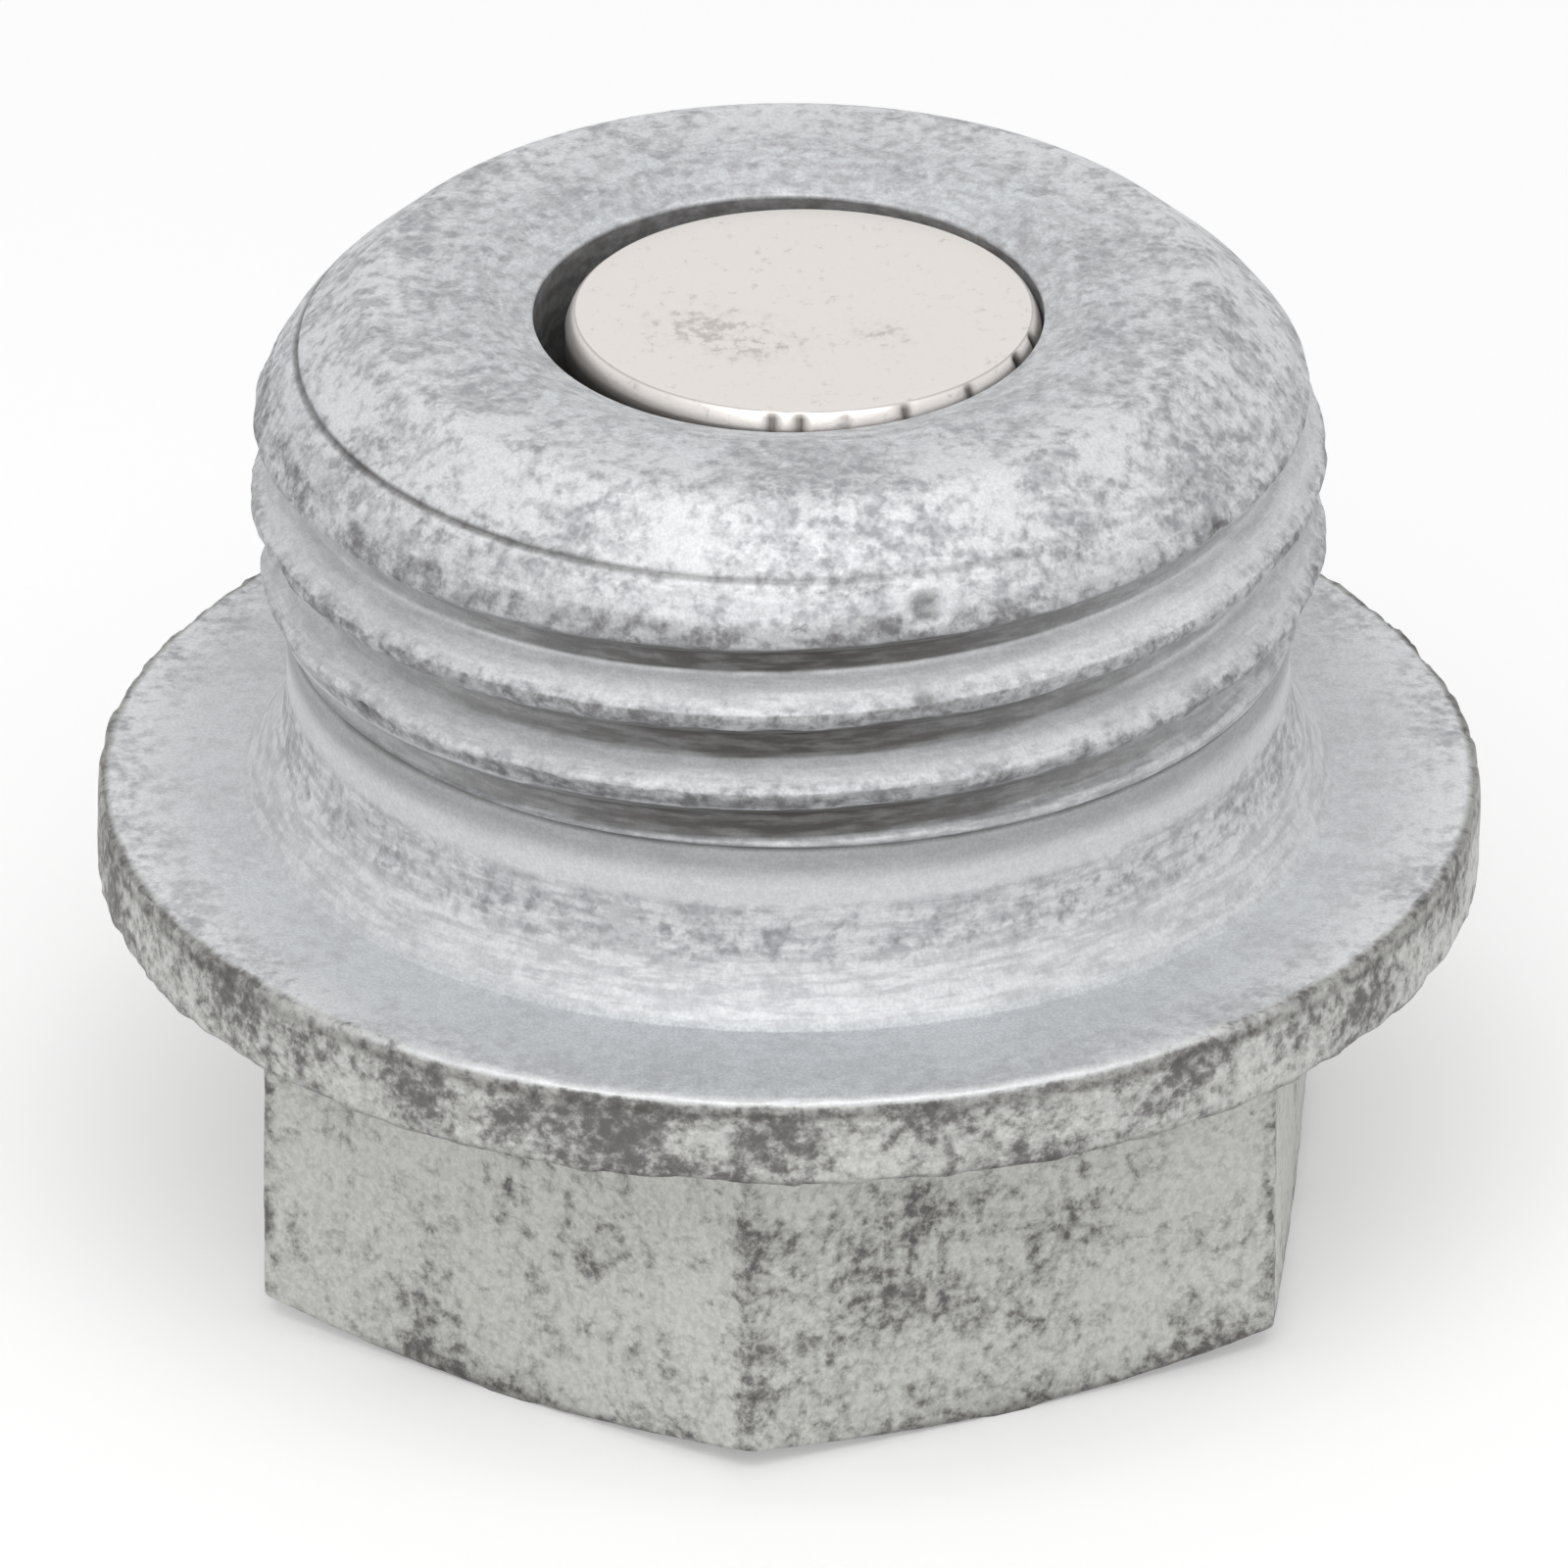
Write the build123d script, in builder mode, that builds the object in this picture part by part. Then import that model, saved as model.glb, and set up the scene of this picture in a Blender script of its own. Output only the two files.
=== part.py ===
"""Magnetic oil drain plug: a hexagon-head flange plug with an M18 x 1.5 right-hand thread and a disc magnet.

Millimetres. The plug stands on its hexagon head with the thread up. The origin is the middle of the head's
underside and +Z is the axis of the thread. One corner of the hexagon points along -Y.
"""

import os
from math import atan, cos, degrees, radians, sin, tan

from build123d import *

# Hexagon head: the width across flats is the spanner size. Its round underside face is what the plug stands on.
hex_across_flats = 17.0
hex_height = 6.4
hex_face_inset = 0.1
hex_corner_rise = 0.42
hex_edge_radius = 0.2
hex_root_radius = 0.35

# Flange: a plain disc forged with the head, which stands out past the corners of the hexagon. Its upper face
# presses on the sealing washer of the oil pan.
flange_overhang = 1.785
flange_thickness = 1.65
flange_edge_break = 0.17

# Spigot: the foot of the shank, which centres the washer and flares up into the neck.
spigot_diameter = 18.3
spigot_land_drop = 0.4
spigot_land_inset = 0.3
flare_height = 2.1
neck_diameter = 16.8

# Thread: M18 x 1.5, right-hand, with the depth and the flat root of the metric form.
thread_diameter = 18.0
thread_pitch = 1.5
thread_depth = 0.6134 * thread_pitch
thread_half_angle = 30.0
root_flat = thread_pitch / 6
thread_foot = 3.15
thread_foot_slope = 1.0
crest_height_at_front = 5.78

# Nose: two cones that lead the plug into its hole, and a flat ring round the magnet's bore.
shank_length = 9.03
nose_diameter = 14.2
shoulder_diameter = 16.5
shoulder_drop = 1.03
lead_drop = 2.3

# Magnet and its blind bore. The magnet lies loose against one side of the bore, held by its own pull.
magnet_diameter = 8.0
magnet_thickness = 5.0
magnet_edge_break = 0.12
magnet_sink = 0.25
magnet_side_clearance = 0.04
bore_clearance = 0.27
bore_mouth_width = 0.93
bore_mouth_drop = 0.32

flange_underside = hex_height
flange_face = flange_underside + flange_thickness
neck_start = flange_face + flare_height
thread_end = flange_face + thread_foot
nose_face = flange_face + shank_length
hex_face_radius = hex_across_flats / 2 - hex_face_inset
hex_corner_radius = hex_across_flats / 2 / cos(radians(30))
flange_radius = hex_corner_radius + flange_overhang
thread_radius = thread_diameter / 2
neck_radius = neck_diameter / 2
root_radius = thread_radius - thread_depth
magnet_radius = magnet_diameter / 2
magnet_top = nose_face - magnet_sink
bore_radius = magnet_radius + bore_clearance
bore_floor = magnet_top - magnet_thickness

os.makedirs("parts", exist_ok=True)


# Thread groove: the space between two neighbouring crests, a metric V with a flat root. Along most of the helix
# it keeps its depth. At the foot and at the nose the helix widens into a cone, so the groove lifts out of the
# metal as a rolled thread does. Turns are counted in degrees from the groove at the front of the foot.
groove_overshoot = 0.08
groove_half_root = root_flat / 2
groove_half_mouth = groove_half_root + (thread_depth + groove_overshoot) * tan(radians(thread_half_angle))
foot_lift = neck_radius - root_radius + 0.1
nose_lift = 0.5
foot_turn = -115
full_from_turn = -35
full_to_turn = 2 * 360 + 90
nose_turn = 2 * 360 + 270
front = -90
first_groove_height = flange_face + crest_height_at_front - 1.5 * thread_pitch


def groove(turn_from, turn_to, lift_from=0.0, lift_to=0.0):
    """One stretch of the groove between two turns, its root moving out from one lift to the other."""
    rise = thread_pitch * (turn_to - turn_from) / 360
    cone_angle = atan((lift_to - lift_from) / rise)
    with BuildPart() as stretch:
        with BuildLine() as spine:
            Helix(
                pitch=thread_pitch / cos(cone_angle),
                height=rise,
                radius=root_radius + lift_from,
                cone_angle=degrees(cone_angle),
            )
        with BuildSketch(Plane.XZ):
            with BuildLine():
                Polyline(
                    (root_radius + lift_from, -groove_half_root),
                    (thread_radius + groove_overshoot + lift_from, -groove_half_mouth),
                    (thread_radius + groove_overshoot + lift_from, groove_half_mouth),
                    (root_radius + lift_from, groove_half_root),
                    close=True,
                )
            make_face()
        sweep(path=spine.line, is_frenet=True)
    height = first_groove_height + thread_pitch * turn_from / 360
    return stretch.part.moved(Location((0, 0, height), (0, 0, front + turn_from)))


groove_stretches = [
    groove(full_from_turn, full_to_turn),
    groove(foot_turn, full_from_turn, lift_from=foot_lift),
    groove(full_to_turn, nose_turn, lift_to=nose_lift),
]


# Threaded shank: a round bar longer than the thread takes the groove, and is then turned to the outline of the
# neck, the foot of the thread and the two cones of the nose.
with BuildPart() as threaded_shank:
    with BuildSketch(Plane.XY.offset(flange_face - thread_diameter)):
        Circle(thread_radius)
    extrude(amount=shank_length + 2 * thread_diameter)
    for stretch in groove_stretches:
        add(stretch, mode=Mode.SUBTRACT)
    with BuildSketch(Plane.XZ):
        with BuildLine():
            Polyline(
                (0, neck_start),
                (neck_radius, neck_start),
                (neck_radius, thread_end),
                (thread_radius, thread_end + thread_foot_slope),
                (thread_radius, nose_face - lead_drop),
                (shoulder_diameter / 2, nose_face - shoulder_drop),
                (nose_diameter / 2, nose_face),
                (0, nose_face),
                close=True,
            )
        make_face()
    revolve(axis=Axis.Z, mode=Mode.INTERSECT)


# Plug body: hexagon, flange and threaded shank are one forged and turned piece of steel.
with BuildPart() as plug_body:
    # Hexagon bar, with its underside corners turned off to a shallow cone.
    with BuildSketch(Plane.XY):
        RegularPolygon(radius=hex_across_flats / 2, side_count=6, major_radius=False, rotation=30)
    extrude(amount=hex_height)
    fillet(plug_body.edges().filter_by(Axis.Z), radius=hex_edge_radius)
    with BuildSketch(Plane.XZ):
        with BuildLine():
            Polyline(
                (0, 0),
                (hex_face_radius, 0),
                (hex_corner_radius, hex_corner_rise),
                (hex_corner_radius, hex_height),
                (0, hex_height),
                close=True,
            )
        make_face()
    revolve(axis=Axis.Z, mode=Mode.INTERSECT)

    # Flange, spigot and the flare of the neck, turned about the axis in one outline, with the shank on top.
    with BuildSketch(Plane.XZ):
        with BuildLine():
            land_top = (spigot_diameter / 2 - spigot_land_inset, flange_face + spigot_land_drop)
            neck_foot = (neck_radius, neck_start)
            Polyline(
                (0, flange_underside),
                (flange_radius - flange_edge_break, flange_underside),
                (flange_radius, flange_underside + flange_edge_break),
                (flange_radius, flange_face - flange_edge_break),
                (flange_radius - flange_edge_break, flange_face),
                (spigot_diameter / 2, flange_face),
                land_top,
            )
            TangentArc(neck_foot, land_top, tangent=(0, -1), tangent_from_first=True)
            Polyline(neck_foot, (0, neck_start), (0, flange_underside))
        make_face()
    revolve(axis=Axis.Z)
    add(threaded_shank.part)

    # Forging radius where the six flats meet the underside of the flange.
    fillet(
        plug_body.edges()
        .filter_by_position(Axis.Z, flange_underside, flange_underside)
        .filter_by(GeomType.LINE),
        radius=hex_root_radius,
    )

    # Blind bore for the magnet, with a shallow dished mouth.
    with Locations(Plane.XY.offset(nose_face)):
        CounterSinkHole(
            radius=bore_radius,
            counter_sink_radius=bore_radius + bore_mouth_width,
            depth=nose_face - bore_floor,
            counter_sink_angle=2 * degrees(atan(bore_mouth_width / bore_mouth_drop)),
        )

plug_body.part.label = "plug_body"
export_step(plug_body.part, "parts/plug_body.step")


# Magnet: a plated disc with a small bevel. It stands on the bore's floor, pulled over to the +X side.
magnet_shift = bore_clearance - magnet_side_clearance

with BuildPart() as magnet:
    with BuildSketch(Plane.XY.offset(bore_floor)):
        with Locations((magnet_shift, 0)):
            Circle(magnet_radius)
    extrude(amount=magnet_thickness)
    chamfer(magnet.edges().filter_by(GeomType.CIRCLE), length=magnet_edge_break)

magnet.part.label = "magnet"
export_step(magnet.part, "parts/magnet.step")

for piece in (plug_body, magnet):
    size = piece.part.bounding_box().size
    print(piece.part.label, "volume", round(piece.part.volume, 1), "size", [round(n, 2) for n in size])
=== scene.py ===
# %% [markdown]
# # An oil drain plug in close-up
# A magnetic drain plug closes the lowest point of an engine's oil pan. It is one forged and turned
# piece of steel with a disc magnet in its nose, which catches the iron dust in the oil. The plug
# stands on its hexagon head. The measured model of the plug comes from the frame. This lesson builds
# the surface that the eye sees round it: the rolled thread with its soft crests, the knocked rim, and
# a worn grey plating.

# %% Load the measured plug
import math

import bpy
import numpy as np
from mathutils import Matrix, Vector, noise


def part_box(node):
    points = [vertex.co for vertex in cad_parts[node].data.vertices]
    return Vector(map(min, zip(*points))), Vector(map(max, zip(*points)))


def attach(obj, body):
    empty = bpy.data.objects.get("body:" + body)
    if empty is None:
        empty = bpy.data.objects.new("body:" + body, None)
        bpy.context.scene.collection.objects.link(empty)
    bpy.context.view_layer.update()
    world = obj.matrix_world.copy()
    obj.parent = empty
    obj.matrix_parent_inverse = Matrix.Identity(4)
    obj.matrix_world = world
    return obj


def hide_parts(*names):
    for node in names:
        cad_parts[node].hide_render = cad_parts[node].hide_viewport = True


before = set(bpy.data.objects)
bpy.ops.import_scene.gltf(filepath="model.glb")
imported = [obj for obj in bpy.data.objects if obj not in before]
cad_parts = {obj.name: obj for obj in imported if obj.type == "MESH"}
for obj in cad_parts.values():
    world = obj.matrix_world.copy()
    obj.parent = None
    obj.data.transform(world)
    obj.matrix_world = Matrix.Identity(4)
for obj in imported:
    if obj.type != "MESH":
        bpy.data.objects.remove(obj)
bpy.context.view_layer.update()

MM = 0.001
plug_low, plug_high = (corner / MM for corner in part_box("plug_body"))
magnet_low, magnet_high = (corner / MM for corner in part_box("magnet"))
print("plug:", [round(n, 3) for n in plug_high - plug_low], "mm")
print("magnet:", [round(n, 3) for n in magnet_high - magnet_low], "mm")

# %% [markdown]
# ## The camera
# The plug's upper and lower ellipses have nearly the same shape in the picture, which only a distant
# camera gives. An orthographic camera would have no perspective at all, so this is a camera with a
# very long lens, a metre away. It looks at a point a little in front of the flange's middle, so that
# the plug fills the frame.

# %% Camera
camera_azimuth = math.radians(3.85)
camera_elevation = math.radians(28.05)
camera_distance = 1.0
clip_near, clip_far = 0.01, 10.0
pixels_per_mm = 60.9
picture_width = 1600
sensor_width = 36.0
flange_centre_pixel = (804.7, 789.4)
flange_face = 8.05


def direction_to(azimuth, elevation):
    """The direction from the plug to something round its front, by azimuth, and up, by elevation."""
    level = math.cos(elevation)
    return Vector((math.sin(azimuth) * level, -math.cos(azimuth) * level, math.sin(elevation)))


towards_camera = direction_to(camera_azimuth, camera_elevation)
camera_right = Vector((math.cos(camera_azimuth), math.sin(camera_azimuth), 0))
camera_up = towards_camera.cross(camera_right)
pixels_right = picture_width / 2 - flange_centre_pixel[0]
pixels_up = flange_centre_pixel[1] - picture_width / 2
aim = Vector((0, 0, flange_face)) + (camera_right * pixels_right + camera_up * pixels_up) / pixels_per_mm

camera_data = bpy.data.cameras.new("picture_camera")
camera_data.sensor_width = sensor_width
camera_data.lens = pixels_per_mm / MM * camera_distance * sensor_width / picture_width
camera_data.clip_start = clip_near
camera_data.clip_end = clip_far
camera = bpy.data.objects.new("picture_camera", camera_data)
camera.location = aim * MM + towards_camera * camera_distance
camera.rotation_euler = towards_camera.to_track_quat("Z", "Y").to_euler()
bpy.context.scene.collection.objects.link(camera)
bpy.context.scene.camera = camera
print("lens:", round(camera_data.lens), "mm, aim:", [round(n, 3) for n in aim])

# %% [markdown]
# ## How the plug is drawn
# Most of the plug is round about one axis, and the hexagon and the thread follow that axis too, so
# the whole surface can be told by a radius at each height and angle. The mesh is a polar net: rows go
# up the outline, columns go round. A Screw modifier could make the round parts, but it can't make the
# hexagon and the thread in the same skin, and one skin is what makes the light run over the edges as
# it does on one piece of steel. The columns crowd together at the six corners, where the outline
# turns quickly.

# %% Columns of the net
columns = 480
hex_sides = 6
corner_crowding = 0.5
seam_angle = math.radians(90)

even_turn = np.arange(columns) / columns * 2 * math.pi
column_turn = even_turn - corner_crowding / hex_sides * np.sin(hex_sides * even_turn)
column_angle = seam_angle + column_turn
print("columns:", columns, "closest:", round(math.degrees(np.diff(column_angle).min()), 3), "degrees")

# %% [markdown]
# ## The hexagon
# The head is forged as a hexagon, 17 mm across the flats to fit its spanner. A cylinder with six
# sides would give the flats, but not the cone under them, so the outline is worked out. Seen from
# above, the distance from the middle to a flat grows towards the corner as one over the cosine. A
# real corner is never sharp, so a small radius is taken off it. The corners of the underside are
# turned down to a shallow cone, which leaves the curved edge that a spanner finds first.

# %% Hexagon outline
hex_flat_radius = 8.5
hex_corner_round = 0.2
hex_face_radius = 8.4
hex_corner_rise = 0.42
half_side = math.pi / hex_sides


def from_corner(turn):
    """Angles counted from the nearest corner of the hexagon."""
    return turn % (2 * half_side) - half_side


corner_turn = from_corner(column_angle)
sharp_hexagon = hex_flat_radius / np.cos(half_side - np.abs(corner_turn))
corner_centre = (hex_flat_radius - hex_corner_round) / math.cos(half_side)
across = corner_centre * np.sin(corner_turn)
reach = np.sqrt(np.maximum(hex_corner_round**2 - across**2, 0))
rounded_corner = corner_centre * np.cos(corner_turn) + reach
in_corner = np.abs(across) < hex_corner_round / 2
hexagon = np.where(in_corner, np.minimum(rounded_corner, sharp_hexagon), sharp_hexagon)
sharp_corner = hex_flat_radius / math.cos(half_side)
cone_height = hex_corner_rise * (hexagon - hex_face_radius) / (sharp_corner - hex_face_radius)
print("across corners:", round(2 * hexagon.max(), 2), "across flats:", round(2 * hexagon.min(), 2), "mm")

# %% [markdown]
# ## The outline, corner by corner
# A lathe hand reads a part as a string of corners. Each corner here has its section's name, radius,
# height, how far the corner is rounded off, and how many rows the run up to it gets. The first string
# climbs from the middle of the underside to the foot of the thread. The second goes on over the nose
# and down into the magnet's bore.

# %% Corners of the outline
hex_height = 6.4
flange_radius = 11.6
neck_radius = 8.4
nose_face = 17.08
shoulder_radius = 8.25
shoulder_height = nose_face - 1.03
lead_slope = 0.775
thread_top = nose_face - 1.23
bore_radius = 4.27
bore_floor = 11.83

head_corners = [
    ("underside", 0.0, 0.0, 0.0, 1),
    ("underside", hex_face_radius, 0.0, 0.06, 3),
    ("hexagon", hexagon, cone_height, 0.1, 2),
    ("hexagon", hexagon, cone_height + 0.2, 0.0, 1),
    ("hexagon", hexagon, hex_height, 0.35, 14),
    ("rim", flange_radius, hex_height, 0.17, 4),
    ("rim", flange_radius, flange_face, 0.15, 9),
    ("face", 11.36, flange_face, 0.0, 1),
    ("face", 9.15, flange_face, 0.05, 6),
    ("land", 8.85, flange_face + 0.4, 0.06, 3),
    ("flare", neck_radius, flange_face + 1.19, 0.9, 1),
    ("neck", neck_radius, flange_face + 2.6, 0.0, 5),
    ("neck", neck_radius, flange_face + 3.08, 0.0, 5),
    ("lip", 8.46, flange_face + 3.12, 0.0, 2),
]
nose_corners = [
    ("lead", shoulder_radius + lead_slope * (shoulder_height - thread_top), thread_top, 0.0, 1),
    ("lead", shoulder_radius, shoulder_height, 0.1, 2),
    ("cone", 7.1, nose_face, 0.3, 10),
    ("ring", 5.2, nose_face, 0.3, 8),
    ("dish", bore_radius, nose_face - 0.32, 0.05, 5),
    ("bore", bore_radius, nose_face - 0.4, 0.0, 1),
    ("bore", bore_radius, bore_floor, 0.1, 6),
    ("bore", 0.0, bore_floor, 0.0, 2),
]
print("corners below the thread:", len(head_corners), "above it:", len(nose_corners))

# %% [markdown]
# Every edge of real metal is a little round, and that is what makes it catch a thin line of light. A
# Bevel modifier could round a finished mesh, but here the rows are still plain numbers. So each
# corner is cut back along both of its runs, and a small curve of three rows is drawn across the cut.

# %% Rows along the outline
round_steps = 3
hardly_any = 1e-6


def mix_points(start, end, share):
    """The point that lies a share of the way from start to end."""
    return start[0] + (end[0] - start[0]) * share, start[1] + (end[1] - start[1]) * share


def step_towards(start, end, distance):
    """The point a fixed distance from start, on the line to end, and never past its middle."""
    length = np.hypot(end[0] - start[0], end[1] - start[1])
    share = np.minimum(distance / np.maximum(length, hardly_any), 0.5)
    return mix_points(start, end, share)


def outline_rows(corners):
    """Rows of (section, radius, height) along a string of corners, with the corners rounded."""
    points = [(np.zeros(columns) + corner[1], np.zeros(columns) + corner[2]) for corner in corners]
    leave = points[0]
    rows = [(corners[0][0], *leave)]
    for number in range(1, len(corners)):
        section, *_, rounding, steps = corners[number]
        here = points[number]
        enter = here
        if rounding:
            enter = step_towards(here, points[number - 1], rounding)
            ahead = step_towards(here, points[number + 1], rounding)
        for share in np.linspace(0, 1, steps + 1)[1:]:
            rows.append((section, *mix_points(leave, enter, share)))
        leave = enter
        if rounding:
            for share in np.linspace(0, 1, round_steps + 1)[1:]:
                first = mix_points(enter, here, share)
                second = mix_points(here, ahead, share)
                rows.append((section, *mix_points(first, second, share)))
            leave = ahead
    return rows


head_rows = outline_rows(head_corners)
nose_rows = outline_rows(nose_corners)
print("rows below the thread:", len(head_rows), "above it:", len(nose_rows))

# %% [markdown]
# ## The thread
# A rolled M18 x 1.5 thread is pressed into the bar by two dies, so its crests are soft and its
# grooves fade in and out instead of starting with a step. A swept V and a Boolean would leave sharp
# edges and a ragged mesh at both ends. So the thread is worked out: at one height and angle the
# radius is the smaller of two, the plain bar's and the groove's, and a smooth minimum rounds the
# crest between them. It needs two small helpers.

# %% Soft steps and soft corners
def fade(value, start, end):
    """0 before start, 1 after end, and a soft change between them."""
    share = np.clip((value - start) / (end - start), 0, 1)
    return share * share * (3 - 2 * share)


def smooth_minimum(first, second, width):
    """The smaller of two values, with the change from one to the other rounded over a width."""
    share = np.clip(0.5 + (second - first) / (2 * width), 0, 1)
    return second + (first - second) * share - width * share * (1 - share)


meeting = smooth_minimum(1.0, 1.0, 0.2)
print("two slopes that meet at 1.0, rounded over 0.2, pass at", round(float(meeting), 3))

# %% [markdown]
# The bar under the thread starts at the neck, stands out from it as a narrow lip, widens to 18 mm,
# and narrows again in two cones that lead the plug into its hole.

# %% The bar
bar_radius = 9.0
foot_start = flange_face + 3.1
foot_end = foot_start + 1.3
lip_step = 0.06
lip_width = 0.04
lead_start = nose_face - 2.28
lead_start_slope = 0.45
cone_round = 0.06
shank_round = 0.15


def bar_outline(height):
    """Radius of the turned bar that the thread is rolled into."""
    step = lip_step * np.clip((height - foot_start + lip_width / 2) / lip_width, 0, 1)
    foot_share = np.clip((height - foot_start) / (foot_end - foot_start), 0, 1)
    foot = neck_radius + step + (bar_radius - neck_radius - lip_step) * foot_share
    first_cone = bar_radius - lead_start_slope * (height - lead_start)
    second_cone = shoulder_radius + lead_slope * (shoulder_height - height)
    return smooth_minimum(foot, smooth_minimum(first_cone, second_cone, cone_round), shank_round)


for at_height in (foot_start - 1, foot_end + 1, shoulder_height):
    print("bar radius at", round(at_height, 2), "mm:", round(float(bar_outline(at_height)), 2), "mm")

# %% [markdown]
# The groove is a V of 60 degrees with a flat root. It winds up the bar and rises one pitch on each
# turn, counted here in degrees from the front. Over its first and last stretch its root lifts out of
# the metal.

# %% The groove
pitch = 1.5
root_radius = bar_radius - 0.7
root_half_flat = 0.165
root_round = 0.06
flank_slope = math.tan(math.radians(60))
front_angle = math.radians(-90)
groove_front_height = flange_face + 5.72 - 1.5 * pitch
groove_starts, groove_full, groove_fades, groove_ends = -115, -35, 810, 990
start_lift, end_lift = 0.2, 0.4
groove_laps = range(-1, 3)
far_out = 1e3


def groove_at(angle, height):
    """For points on the bar: the groove's radius, and how far the point lies above its middle."""
    turned = np.degrees(angle - front_angle) % 360
    nearest = np.full(np.shape(height), far_out)
    groove_radius = np.full(np.shape(height), far_out)
    for lap in groove_laps:
        turn = turned + 360 * lap
        above = height - (groove_front_height + pitch * turn / 360)
        lift = start_lift * np.clip((groove_full - turn) / (groove_full - groove_starts), 0, None)
        lift = lift + end_lift * np.clip((turn - groove_fades) / (groove_ends - groove_fades), 0, None)
        flank = np.maximum(np.abs(above) - root_half_flat, 0) * flank_slope
        radius = root_radius + lift + np.hypot(flank, root_round) - root_round
        radius = np.where((turn > groove_starts) & (turn < groove_ends), radius, far_out)
        closer = radius < groove_radius
        groove_radius = np.where(closer, radius, groove_radius)
        nearest = np.where(closer, above, nearest)
    return groove_radius, nearest


print("root radius:", round(root_radius, 3), "mm, flank slope:", round(flank_slope, 3))

# %% [markdown]
# Bar and groove meet in the crest. Most crests are broad and soft. Only where the first groove cuts
# the lip at the foot does the edge stay narrow. Rounding takes a hair off a crest, so the bar is
# lifted by as much there.

# %% Bar and groove together
crest_round = 0.2
lip_round = 0.06
soft_from, soft_to = foot_start + 0.1, foot_start + 0.7
crest_lift = 0.01
lift_from = 8.85


def thread_outline(height, groove_radius):
    """Radius of the threaded bar."""
    bar = bar_outline(height)
    softness = lip_round + (crest_round - lip_round) * fade(height, soft_from, soft_to)
    lifted = bar + crest_lift * fade(bar, lift_from, bar_radius)
    return smooth_minimum(lifted, groove_radius, softness)


print("crest rounded over", crest_round, "mm, lip over", lip_round, "mm")

# %% [markdown]
# ## One net for the whole plug
# Level rows would cut across the rising thread and leave a staircase of light on every crest. So the
# rows between neck and nose climb with the thread: each lap joins the row one pitch higher, like the
# stripes of a barber's pole. They crowd together where the outline turns. Where a climbing row would
# leave the thread's stretch, it ends on the last level row below or above it.

# %% Climbing rows
groove_offsets = np.array(
    [-0.43, -0.405, -0.38, -0.355, -0.32, -0.27, -0.22, -0.185, -0.165, -0.145, -0.115, -0.08]
    + [0.0, 0.08, 0.115, 0.15, 0.21, 0.27, 0.32, 0.355, 0.38, 0.41, 0.5]
)
rows_per_pitch = len(groove_offsets)
laps = range(-4, 5)
snap_to_ring = 0.015

groove_middle = groove_front_height + pitch * (column_angle - front_angle) / (2 * math.pi)
climb_steps = [lap + offset for lap in laps for offset in groove_offsets]
climb_height = np.array([groove_middle + pitch * step for step in climb_steps])
thread_foot_ring = head_rows[-1][2]
thread_top_ring = nose_rows[0][2]
below = climb_height < thread_foot_ring + snap_to_ring
above = climb_height > thread_top_ring - snap_to_ring
climbing = ~below & ~above
climb_height = np.clip(climb_height, thread_foot_ring, thread_top_ring)
climb_angle = np.broadcast_to(column_angle, climb_height.shape)
climb_radius = thread_outline(climb_height, groove_at(climb_angle, climb_height)[0])
print("climbing rows:", climb_height.shape[0], "points:", int(climbing.sum()))

# %% [markdown]
# The groove begins a little below the thread's foot, so the highest level rows of the neck take its
# cut too.

# %% Groove in the neck
cut_from = flange_face + 2.2

for number, (section, row_radius, row_height) in enumerate(head_rows):
    if np.min(row_height) > cut_from:
        cut_radius = groove_at(column_angle, row_height)[0]
        head_rows[number] = (section, smooth_minimum(row_radius, cut_radius, lip_round), row_height)
print("narrowest neck:", round(float(min(row[1].min() for row in head_rows[-5:])), 3), "mm")

# %% [markdown]
# The net is put together from three lists: level rows up to the neck, the climbing rows, and level
# rows over the nose and down into the magnet's bore. Each point keeps its radius, height, angle and
# section, because wear and finish are worked out from them later. The two ends of the net shrink to
# one point each, on the axis.

# %% Points of the net
sections = []
radius_list, height_list, angle_list = [], [], []


def add_points(section, radius, height, angle):
    """Adds points to the lists and returns their numbers."""
    first = sum(len(part) for part in radius_list)
    radius_list.append(np.atleast_1d(radius))
    height_list.append(np.atleast_1d(height))
    angle_list.append(np.atleast_1d(angle))
    sections.extend([section] * len(radius_list[-1]))
    return np.arange(first, first + len(radius_list[-1]))


def add_level_row(section, radius, height):
    """A level row all round, or a single point on the axis."""
    if np.max(radius) < hardly_any:
        return np.repeat(add_points(section, 0.0, float(np.max(height)), 0.0), columns)
    return add_points(section, radius, height, column_angle)


head_net = [add_level_row(*row) for row in head_rows]
climb_points = add_points("thread", climb_radius[climbing], climb_height[climbing], climb_angle[climbing])
nose_net = [add_level_row(*row) for row in nose_rows]
climb_net = np.where(below, head_net[-1], nose_net[0])
climb_net[climbing] = climb_points

radius = np.concatenate(radius_list)
height = np.concatenate(height_list)
angle = np.concatenate(angle_list)
section_of = np.array(sections)
points = np.column_stack((radius * np.cos(angle), radius * np.sin(angle), height))
print("points:", len(points))

# %% [markdown]
# A face joins each point to the next one round the plug and to the two above them. A level row closes
# on itself. A climbing row comes round one pitch higher than it began, so its last column joins the
# row of the next lap.

# %% Faces of the net
faces = []


def add_faces(low, high, low_end, high_end):
    """Faces between two rows and their end points. A face that has shrunk to a line is left out."""
    for corners in zip(low, np.append(low[1:], low_end), np.append(high[1:], high_end), high):
        face = tuple(dict.fromkeys(int(number) for number in corners))
        if len(face) > 2:
            faces.append(face)


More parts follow.
